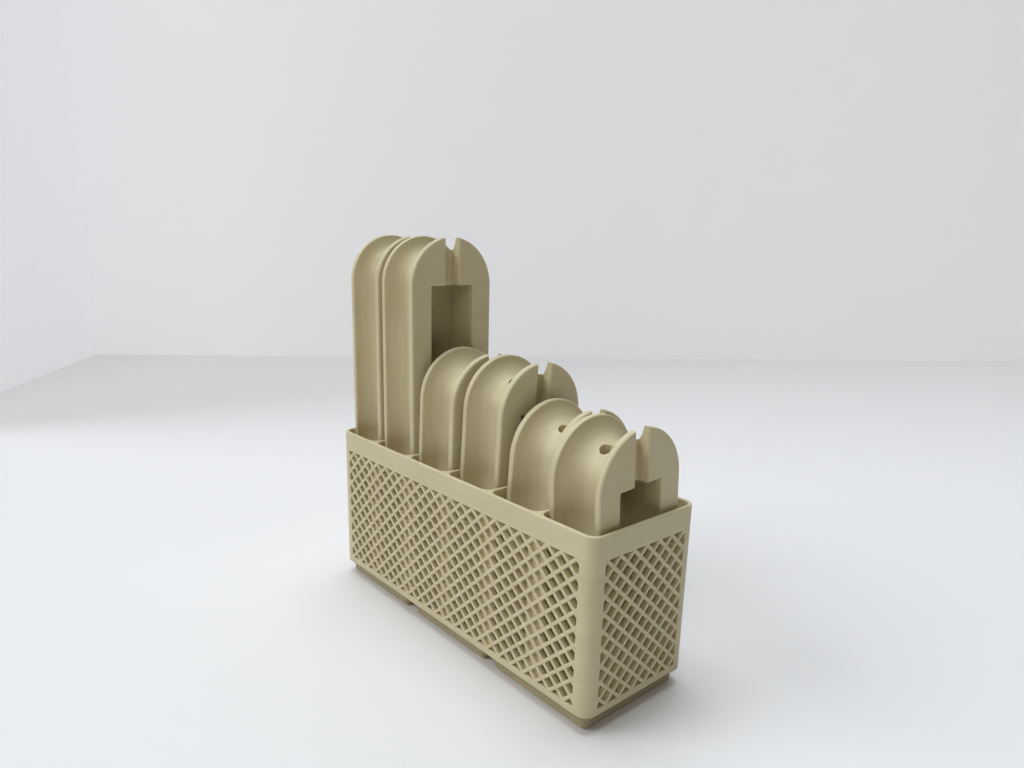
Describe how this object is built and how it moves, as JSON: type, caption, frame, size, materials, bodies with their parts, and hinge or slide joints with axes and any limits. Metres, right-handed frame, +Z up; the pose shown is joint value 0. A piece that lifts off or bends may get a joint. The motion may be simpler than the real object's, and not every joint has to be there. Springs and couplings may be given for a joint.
{
  "type": "cable winder rack",
  "caption": "Perforated desktop basket on modular grid feet, divided into compartments that hold upright lift-out cable winders with a round-topped grooved body.",
  "frame": {"origin": "middle of the footprint, on the underside of the feet", "axes": "+X along the basket towards the smallest winders and the way the slotted winder faces point, +Y across towards the back wall, +Z up"},
  "size_m": [0.1254, 0.0414, 0.1247],
  "materials": {
    "basket_plastic": "matt beige printed plastic with fine level layer lines",
    "winder_plastic": "matt beige printed plastic with fine upright layer lines"
  },
  "bodies": {
    "basket": {"basket_floor": "basket_plastic", "basket_rim": "basket_plastic", "foot_left": "basket_plastic", "foot_middle": "basket_plastic", "foot_right": "basket_plastic", "post_front_left": "basket_plastic", "post_front_right": "basket_plastic", "post_back_left": "basket_plastic", "post_back_right": "basket_plastic", "panel_front": "basket_plastic", "panel_back": "basket_plastic", "panel_left": "basket_plastic", "panel_right": "basket_plastic", "divider_1": "basket_plastic", "divider_2": "basket_plastic", "divider_3": "basket_plastic", "divider_4": "basket_plastic", "divider_5": "basket_plastic"},
    "winder_tall_1": {"winder_tall_1": "winder_plastic"},
    "winder_tall_2": {"winder_tall_2": "winder_plastic"},
    "winder_medium_1": {"winder_medium_1": "winder_plastic"},
    "winder_medium_2": {"winder_medium_2": "winder_plastic"},
    "winder_small_1": {"winder_small_1": "winder_plastic"},
    "winder_small_2": {"winder_small_2": "winder_plastic"}
  },
  "joints": [
    {"name": "winder_tall_1_lift", "type": "slide", "parent": "basket", "child": "winder_tall_1", "axis": [0, 0, 1], "range_m": [0, 0.125]},
    {"name": "winder_tall_2_lift", "type": "slide", "parent": "basket", "child": "winder_tall_2", "axis": [0, 0, 1], "range_m": [0, 0.125]},
    {"name": "winder_medium_1_lift", "type": "slide", "parent": "basket", "child": "winder_medium_1", "axis": [0, 0, 1], "range_m": [0, 0.125]},
    {"name": "winder_medium_2_lift", "type": "slide", "parent": "basket", "child": "winder_medium_2", "axis": [0, 0, 1], "range_m": [0, 0.125]},
    {"name": "winder_small_1_lift", "type": "slide", "parent": "basket", "child": "winder_small_1", "axis": [0, 0, 1], "range_m": [0, 0.125]},
    {"name": "winder_small_2_lift", "type": "slide", "parent": "basket", "child": "winder_small_2", "axis": [0, 0, 1], "range_m": [0, 0.125]}
  ]
}
